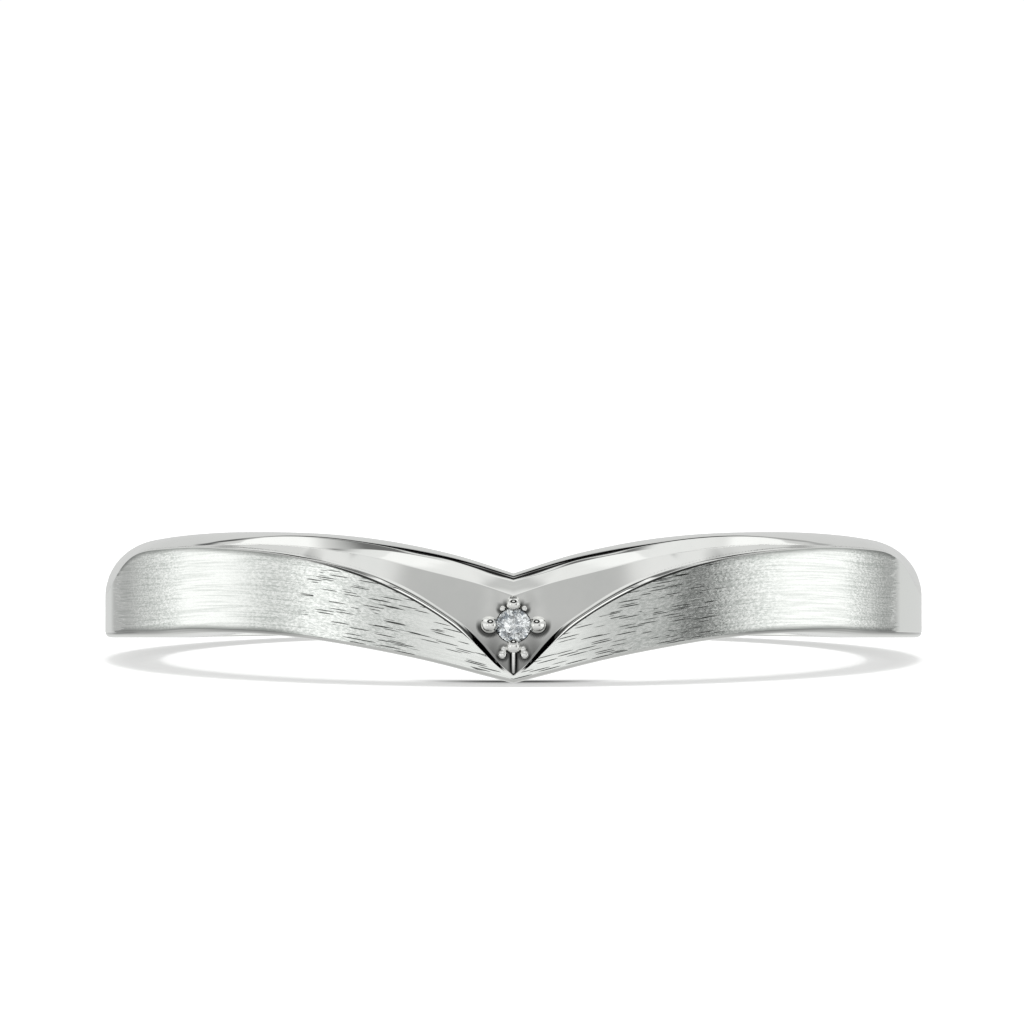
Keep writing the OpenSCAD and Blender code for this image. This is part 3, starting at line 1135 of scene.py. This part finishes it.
    def border(self, crest: Array, foot: Array) -> tuple[Array, Array]:
        """The two narrow polished strips that edge the brushed wall.

        Each rises a share of the way from crest to foot and leans in by its own small angle. Near the V and
        past the recess they shrink to nothing. Away from the V the second runs up to the foot.

        Args:
            crest: The wall's upper edge.
            foot: The foot of the recess.

        Returns:
            The upper edges of the first strip and of the second.
        """
        away = np.abs(self.angles)
        size = np.clip((foot[:, 1] - crest[:, 1]) * self.weight(self.angles), 0, None)
        size = size * risen(away, *self.border_in)
        later = risen(away, *self.border_change)
        first = size * mixed(*self.first_shares, later) + self.border_least
        second = size * mixed(*self.second_shares, later) + self.border_least
        lean = np.tan(np.radians(self.border_lean))
        middle = crest + profile(-first * lean[0], first)
        tip = middle + profile(-second * lean[1], second)
        joining = risen(away, *self.joined_in) * self.weight(self.angles) * self.joined_share
        return middle, mixed(tip, foot, joining[:, None])

    def section(self) -> tuple[Array, dict[str, int]]:
        """Every section of the band at once.

        Returns:
            Points as [angle, step, (radius, height)], and the steps at which named stretches start.
        """
        a = self.angles
        inner, outer = self.posture.inner_r, self.posture.outer_r
        bottom, bevel, top = (OUTLINE.curve(name, a) for name in ("bottom", "bevel", "top"))
        hole_low, hole_high = profile(inner, bottom), profile(inner, top)
        bevel_in = profile(outer - self.posture.bevel_w, bottom)
        bevel_tip = profile(outer - self.step, bottom)
        bevel_out = profile(outer - self.step, bottom + bevel - self.step)
        wall_low = profile(outer, bottom + bevel)
        crest = self.crest(a)
        foot, ridge, shelf, rim = (self.line(a, name) for name in CLIMBS)
        middle, tip = self.border(crest, foot)
        marks: dict[str, int] = {}
        rows = self.corner(hole_high, hole_low, bevel_in, self.hole_round, 4)
        rows += [mixed(hole_low, bevel_in, 0.5), *self.bent(bevel_in, bevel_tip, bevel_out, 6)]
        marks["brushed"] = len(rows) - 1
        rows += [wall_low, *(mixed(wall_low, crest, t) for t in np.linspace(0, 0.98, self.wall_rows)[1:])]
        marks["crest"] = len(rows)
        rows += [crest, mixed(crest, middle, 0.15), mixed(crest, middle, 0.5)]
        rows += self.corner(crest, middle, tip, self.border_round, 3)
        rows += self.corner(middle, tip, foot, self.crest_round, 4)
        rows.append(mixed(tip, foot, 0.5))
        marks["foot"] = len(rows)
        rows += self.corner(tip, foot, ridge, self.foot_round, 6)
        floor = np.linspace(0.04, self.seat_low, 11)[:-1]
        window = np.linspace(self.seat_low, self.seat_high, 2 * self.seat_loops + 1)
        marks["seat"] = len(rows) + len(floor)
        rows += [mixed(foot, ridge, t) for t in (*floor, *window, 0.945, 0.97)]
        rows += self.corner(foot, ridge, shelf, self.ridge_round, 4)
        rows += [mixed(ridge, shelf, t) for t in (0.4, 0.6)]
        rows += self.corner(ridge, shelf, rim, self.shelf_round, 4)
        marks["rim"] = len(rows)
        rows += self.corner(shelf, rim, self.strip(rim, 0.1), self.rim_round, 6)
        rows += [self.strip(rim, t) for t in np.linspace(0.12, 0.94, self.strip_rows)]
        rows += self.corner(self.strip(rim, 0.96), hole_high, hole_low, self.hole_round, 5)
        rows += [mixed(hole_high, hole_low, t) for t in (0.25, 0.5, 0.75)]
        return np.stack(rows, 1), marks

    def floor_at(self, angle: Array, share: Array) -> Array:
        """Points of the recess's floor, at angles from the V and shares of the way from foot to ridge."""
        flat = angle.reshape(-1)
        radius, height = mixed(self.line(flat, "foot"), self.line(flat, "ridge"), share.reshape(-1, 1)).T
        return placed(radius, np.radians(flat), height).reshape(*angle.shape, 3)

    def seated(self, points: Array, row: int) -> Array:
        """Sinks the stone's seat into the floor's grid.

        Square loops of the grid round the seat's middle, numbered s = max(|u|, |v|) for u and v from -1 to 1
        across the window, turn into round ones. Outside the seat they go from square at the window's edge to
        a circle at the seat's, on the floor. Inside it they step down to a cone, whose depth at radius r is
        its rim's plus (seat_r - r) / seat_r of the point's depth.

        Args:
            points: The band's points as [angle, step, (x, y, z)].
            row: The first step of the window.

        Returns:
            The points, with those of the window moved.
        """
        n = self.seat_loops
        setting = self.setting
        ring = int(np.argmin(np.abs(self.angles))) - n
        count = np.arange(-n, n + 1) / n
        u, v = np.meshgrid(count, count, indexing="ij")
        s = np.maximum(np.abs(u), np.abs(v))
        lean_u = np.divide(v, u, out=np.zeros_like(u), where=np.abs(u) > 0)
        lean_v = np.divide(u, v, out=np.zeros_like(u), where=np.abs(v) > 0)
        theta = np.where(
            np.abs(u) >= np.abs(v),
            math.pi / 4 * lean_u + np.where(u < 0, math.pi, 0),
            np.sign(v) * math.pi / 2 - math.pi / 4 * lean_v,
        )
        edge = self.seat_edge / n
        reach = setting.seat_r + np.clip(s - edge, 0, None) / (1 - edge) * self.seat_margin
        x, y = reach * np.cos(theta), reach * np.sin(theta)
        base = setting.middle_r
        sine, cosine = math.sin(setting.lean), math.cos(setting.lean)
        out = 0 * x
        # A few rounds find where the line out of the setting's frame at (x, y) meets the floor.
        for _ in range(4):
            angle = np.degrees(np.arctan2(x, base + out * cosine - y * sine))
            height = setting.stone_z + out * sine + y * cosine
            flat = angle.reshape(-1)
            low, high = (self.line(flat, name)[:, 1].reshape(x.shape) for name in ("foot", "ridge"))
            share = (height - low) / (high - low)
            out = (-self.floor_at(angle, share)[..., 1] - base + y * sine) / cosine
        plain_angle = u * self.seat_turn
        plain_share = mixed(self.seat_low, self.seat_high, (v + 1) / 2)
        squared = eased((s - edge) / (1 - edge))
        moved = self.floor_at(mixed(angle, plain_angle, squared), mixed(share, plain_share, squared))
        inside = s < edge - 1e-6
        inner = np.where(s >= edge - 1.5 / n, 1.0, s / edge) * setting.seat_r
        depth = -setting.stone_d * setting.girdle_share - setting.gap
        depth = depth - (1 - inner / setting.seat_r) * (setting.seat_depth + depth)
        depth = np.minimum(depth, out - setting.lift - 0.012)
        sunk = setting.to_ring(np.stack([inner * np.cos(theta), inner * np.sin(theta), depth], -1))
        points[ring:ring + 2 * n + 1, row:row + 2 * n + 1] = np.where(inside[..., None], sunk, moved)
        return points

    def build(self, polish: Material, brushed: Material) -> Object:
        """Makes the skin.

        Args:
            polish: Finish of the recess, edges and finger hole.
            brushed: Finish of the lapels and the shank's outside.

        Returns:
            The band. Its grain attribute holds x, y and the height above the lower edge, and its edges
            attribute the distances from the brushed wall's two edges and the painted shade in narrow places.
        """
        section, marks = self.section()
        radius, height = section[..., 0], section[..., 1]
        points = self.seated(placed(radius, np.radians(self.angles)[:, None], height), marks["seat"])
        quads = lofted(*radius.shape)
        slots = np.full(quads.shape[:2], Metal.POLISHED.value)
        slots[:, marks["brushed"]:marks["crest"]] = Metal.BRUSHED.value
        bottom, bevel, crest = (
            OUTLINE.curve(name, self.angles)[:, None] for name in ("bottom", "bevel", "crest")
        )
        skin = self.posture.lay(points.reshape(-1, 3)), quads.reshape(-1, 4)
        obj = joined("band_casting", skin, polish, brushed)
        obj.data.polygons.foreach_set("material_index", slots.reshape(-1))
        noted(obj, "grain", np.stack([points[..., 0], points[..., 1], height - bottom], -1))
        edges = height - bottom - bevel, crest - height, self.painted_shade(points, marks)
        noted(obj, "edges", np.stack(edges, -1))
        obj.data.set_sharp_from_angle(angle=math.radians(32))
        self.crease(obj, radius.shape[1], marks["crest"])
        return obj

    def painted_shade(self, points: Array, marks: dict[str, int]) -> Array:
        """How dark the band is painted in its narrow places: painted shade and painted dark reflections.

        It lies on the strip above the crest, on the ledge up to the recess's floor, in the corner under the
        rim, along the bevel, low in the recess, round the feet of the prongs and inside the stone's seat.

        Args:
            points: The band's points as [angle, step, (x, y, z)].
            marks: The steps at which named stretches start.

        Returns:
            Shares from 0 to 1, one for each point.
        """
        crest, foot, rim, bevel = (marks[name] for name in ("crest", "foot", "rim", "brushed"))
        away = np.abs(self.angles)[:, None]
        amount = np.zeros(points.shape[:2])
        # Painted dark reflection on the strip just above the crest.
        strip = mixed(1, self.strip_least, risen(away, *self.strip_thin))
        amount[:, crest:crest + 4] = during(away, *self.strip_angles) * strip
        # Painted dark reflection on the ledge up to the recess's floor.
        amount[:, foot - 5:foot + 4] = np.array(self.ledge_painted_shade) * during(away, *self.ledge_angles)
        # Painted dark reflection in the corner under the rim, weaker on the right.
        side = np.where(self.angles[:, None] < 0, 1.0, self.rim_right)
        amount[:, rim - 3:rim + 6] = during(away, *self.rim_angles) * side
        amount[:, rim - 3:rim + 1] *= risen(away, *self.rim_under)
        # Painted shade along the lower bevel.
        full = mixed(self.bevel_least, 1, risen(away, *self.bevel_full))
        amount[:, bevel - 2:bevel + 1] = np.array(self.bevel_painted_shade) * full
        # Painted shade low in the recess near the V and round the feet, and a painted dark patch farther
        # round.
        floor = slice(foot + 3, marks["seat"] + 2 * self.seat_loops + 1)
        low = self.low_painted_shade * eased((self.low_painted_shade_top - points[:, floor, 2]) / self.low_painted_shade_depth)
        foot_shadow = self.setting.painted_foot_shadow(points[:, floor]) * self.foot_shadow_share
        patch_shade = self.patch_painted_shade * during(away, *self.patch_angles)
        front = np.maximum.reduce([amount[:, floor], low, foot_shadow])
        amount[:, floor] = np.where(away < self.low_painted_shade_end, front, patch_shade)
        # Painted shade inside the stone's seat.
        n = self.seat_loops
        first = int(np.argmin(away)) - n
        count = np.abs(np.arange(-n, n + 1))
        inside = np.maximum(count[:, None], count[None, :]) < self.seat_edge - 1
        seat = amount[first:first + 2 * n + 1, marks["seat"]:marks["seat"] + 2 * n + 1]
        seat[inside] = self.seat_painted_shade
        return amount * (away < self.painted_shade_end)

    def crease(self, obj: Object, steps: int, first: int) -> None:
        """Keeps the two sides of the V apart where they meet in the recess.

        Args:
            obj: The band.
            steps: How many points each of its sections has.
            first: The step at which the recess starts.
        """
        middle = int(np.argmin(np.abs(self.angles)))
        pairs = np.empty(2 * len(obj.data.edges), int)
        obj.data.edges.foreach_get("vertices", pairs)
        ring, step = np.divmod(pairs.reshape(-1, 2), steps)
        found = (ring == middle).all(1) & (step >= first).all(1)
        sharp = np.zeros(len(found), bool)
        values = obj.data.attributes["sharp_edge"].data
        values.foreach_get("value", sharp)
        values.foreach_set("value", sharp | found)


@dataclass(frozen=True)
class Panel:
    """A light or dark zone of the studio, as it mirrors in the metal.

    Its azimuth is 0 towards the camera and grows to the right. All angles are in degrees. Its edge is the
    width over which it fades, and fade is what is added to that at its left and right.
    """

    azimuth: float
    half_width: float
    low: float
    high: float
    edge: float
    radiance: float
    fade: float = 0.0

    def window(self, azimuth: Value, elevation: Value) -> Value:
        """1 in the zone and 0 outside: a soft window in azimuth times a soft window in elevation."""
        turn = abs(azimuth - self.azimuth)
        turn = turn.math("MINIMUM", 360 - turn)
        across = turn.ramp(self.half_width + self.edge + self.fade, self.half_width)
        return across * elevation.during(self.low - self.edge, self.low, self.high, self.high + self.edge)


@dataclass
class Studio:
    """Camera, floor and lights."""

    posture: Posture
    distance: float = 125.06
    pixels_per_mm: float = 42.3055
    image: int = 1024
    centre_x: float = 513.5
    edge_plane_y: float = 637.6
    sensor: float = 36.0
    floor_r: float = 0.3
    floor_rings: int = 6
    floor_steps: int = 64
    lamp_width: float = 0.5
    lamp_height: float = 1.0
    lamp_power: float = 4.2
    tone: tuple[float, ...] = (0.99, 1.0, 0.99, 1)
    white: float = 1.05
    dome: float = 0.67
    panels: tuple[Panel, ...] = tuple(Panel(*row) for row in (
        (0, 180, 51, 100, 7, 0.86), (0, 180, 72, 100, 6, 0.90), (0, 60, 80, 100, 3, 1.06),
        (-158, 20, 70.5, 80, 5, 0.17, 34), (77, 5, 65, 71, 4, 0.6, 4), (-77, 5, 65, 71, 4, 0.6, 4),
        (106, 15, 40, 60, 5, 1.08), (-106, 15, 40, 65, 5, 1.08), (180, 13, 31, 60, 5, 0.0),
        (180, 32, 44, 61, 5, 0.02), (62, 13, 45, 53, 4, 0.0), (-62, 13, 45, 53, 4, 0.0),
        (0, 46, 32, 44, 4, 0.545, 10), (0, 50, 24.5, 28, 2, 0.08), (0, 45, 16, 22, 2, 1.25),
        (0, 180, -100, -8, 6, 0.74), (0, 180, -100, -45, 10, 0.58), (-33, 13, -8, 8, 6, 0.75),
        (-70, 12, -8, 8, 6, 0.80), (-54, 4, -8, 8, 8, 1.25), (-97, 8, -8, 8, 20, 1.12),
        (-143, 7, -8, 8, 8, 0.44), (0, 16, -8, 8, 6, 0.89), (37, 9, -8, 8, 8, 0.58),
        (52, 3.5, -8, 8, 6, 0.14), (90, 16, -8, 8, 12, 1.15), (129.5, 3.5, -8, 8, 6, 0.42),
    ))

    def camera(self) -> None:
        """A long lens in the plane of the ring's lower edge, which the photograph shows exactly edge on."""
        focal = self.pixels_per_mm * self.distance
        eye = self.posture.lay(np.array([0.0, -self.distance, 0.0]))
        up = math.atan((self.edge_plane_y - self.image / 2) / focal)
        right = math.atan((self.centre_x - self.image / 2) / focal)
        data = bpy.data.cameras.new("camera")
        data.sensor_width = self.sensor
        data.lens = self.sensor * focal / self.image
        data.clip_start = 0.005
        data.clip_end = 20.0
        obj = shown("camera", data)
        obj.matrix_world = (
            Matrix.Translation(Vector(eye))
            @ Matrix.Rotation(right, 4, "Z")
            @ Matrix.Rotation(math.pi / 2 - self.posture.tilt + up, 4, "X")
        )
        bpy.context.scene.camera = obj

    def floor(self) -> None:
        """A round floor, far wider than the ring, that stays out of the mirrors.

        Its points are radius * (cos b, sin b, 0), for b once round and the radius from nothing to floor_r.
        """
        rings, steps = self.floor_rings, self.floor_steps
        reach = np.linspace(0, self.floor_r, rings + 1)[1:]
        radius, b = np.meshgrid(reach, np.linspace(0, 2 * math.pi, steps, endpoint=False), indexing="ij")
        points = np.stack([radius * np.cos(b), radius * np.sin(b), 0 * b], -1).reshape(-1, 3)
        quads = lofted(rings, steps, close=False).reshape(-1, 4)
        skin = np.vstack([points, [[0, 0, 0]]]), quads, fan(rings * steps, 0, steps)
        obj = joined("floor", skin, FloorFinish().material())
        obj.visible_glossy = False

    def surround(self) -> None:
        """The studio that the metal mirrors.

        Each panel blends its radiance over what is there already. The camera itself sees plain white behind
        the floor.
        """
        world = bpy.data.worlds.new("studio")
        world.use_nodes = True
        bpy.context.scene.world = world
        tree = Tree(world.node_tree)
        x, y, z = tree.parts(tree.add("TexCoord", output="Generated"))
        azimuth = x.math("ARCTAN2", -y) * DEGREES
        elevation = z.math("ARCSINE") * DEGREES
        light = self.dome
        for panel in self.panels:
            window = panel.window(azimuth, elevation)
            light = light * (1 - window) + window * panel.radiance
        seen = tree.add("LightPath", output="Is Camera Ray")
        strength = light * (1 - seen) + seen * self.white
        shine = tree.add("Background", {"Color": self.tone, "Strength": strength})
        tree.add("OutputWorld", {"Surface": shine})

    def lamp(self) -> None:
        """A broad soft lamp high overhead, which lights the floor and stays out of the mirrors."""
        data = bpy.data.lights.new("overhead", "AREA")
        data.shape = "DISK"
        data.size = self.lamp_width
        data.energy = self.lamp_power
        obj = shown("overhead", data)
        obj.location = (0.0, 0.0, self.lamp_height)
        obj.visible_glossy = False

    def build(self) -> None:
        """Sets up the whole studio, with plain display of the light that reaches the camera."""
        self.camera()
        self.floor()
        self.surround()
        self.lamp()
        settings = bpy.context.scene.view_settings
        settings.view_transform = "Standard"
        settings.look = "None"


def dress(obj: Object, node: str) -> None:
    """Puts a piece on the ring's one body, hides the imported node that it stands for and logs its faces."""
    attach(obj, "root")
    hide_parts(node)
    LOG.info("%s: %d faces", obj.name, len(obj.data.polygons))


def main() -> None:
    """Builds the ring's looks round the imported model, and the studio round the ring."""
    logging.basicConfig(level=logging.INFO, format="%(name)s %(message)s")
    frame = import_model()
    posture = Posture()
    setting = Setting(posture)
    band = Band(posture, setting)
    dress(band.build(PolishedGold().material(), BrushedGold().material()), "band")
    for piece in setting.pieces(SettingGold().material()):
        dress(piece, "band")
    stone = frame["nodes"]["diamond"]
    stone.data.materials.clear()
    stone.data.materials.append(DiamondFinish().material())
    LOG.info("diamond: %d faces", len(stone.data.polygons))
    Studio(posture).build()


if __name__ == "__main__":
    main()
